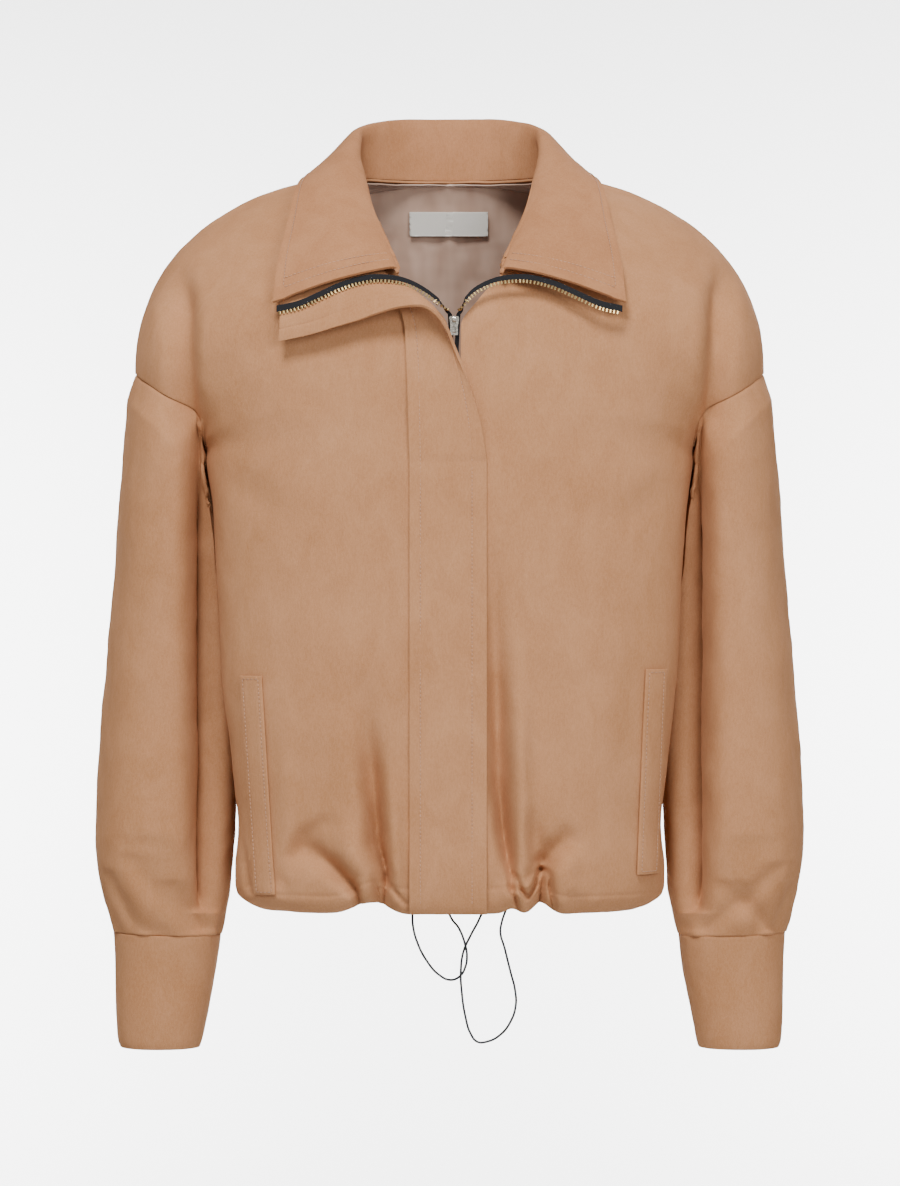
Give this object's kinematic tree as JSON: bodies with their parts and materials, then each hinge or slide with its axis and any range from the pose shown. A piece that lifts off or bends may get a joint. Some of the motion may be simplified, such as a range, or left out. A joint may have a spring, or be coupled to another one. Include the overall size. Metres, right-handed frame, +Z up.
{
  "type": "suede jacket",
  "caption": "Cropped faux-suede jacket, filled out as worn: drop shoulders, wide cuffed sleeves, open zip collar, fly placket and drawcord hem.",
  "frame": {"origin": "middle of the neck opening at the neck base, where the wearer's shoulders carry the jacket", "axes": "+Z up along the body, +Y towards the back, so the front faces -Y, +X towards the wearer's left"},
  "size_m": [0.553, 0.2602, 0.7318],
  "materials": {
    "suede": "matt brushed faux suede with a soft nap",
    "lining": "smooth satin lining with a soft sheen",
    "label": "woven white tape, bare",
    "zip_tape": "black woven zip tape",
    "zip_metal": "pale polished brass",
    "cord": "black braided elastic cord"
  },
  "bodies": {
    "jacket": {"front_right": "suede", "front_left": "suede", "back": "suede", "collar": "suede", "placket": "suede", "sleeve_right": "suede", "sleeve_left": "suede", "cuff_right": "suede", "cuff_left": "suede", "pocket_welt_right": "suede", "pocket_welt_left": "suede", "lining_back": "lining", "label": "label", "zip_tape_right": "zip_tape", "zip_tape_left": "zip_tape", "zip_slider": "zip_metal", "drawcord_a": "cord", "drawcord_b": "cord"},
    "pull_tab": {"pull_tab": "zip_metal"}
  },
  "joints": [
    {"name": "pull_tab_swing", "type": "hinge", "parent": "jacket", "child": "pull_tab", "pos_m": [0.0035, -0.1234, -0.1082], "axis": [-1, 0, 0], "range_deg": [0, 165]}
  ]
}
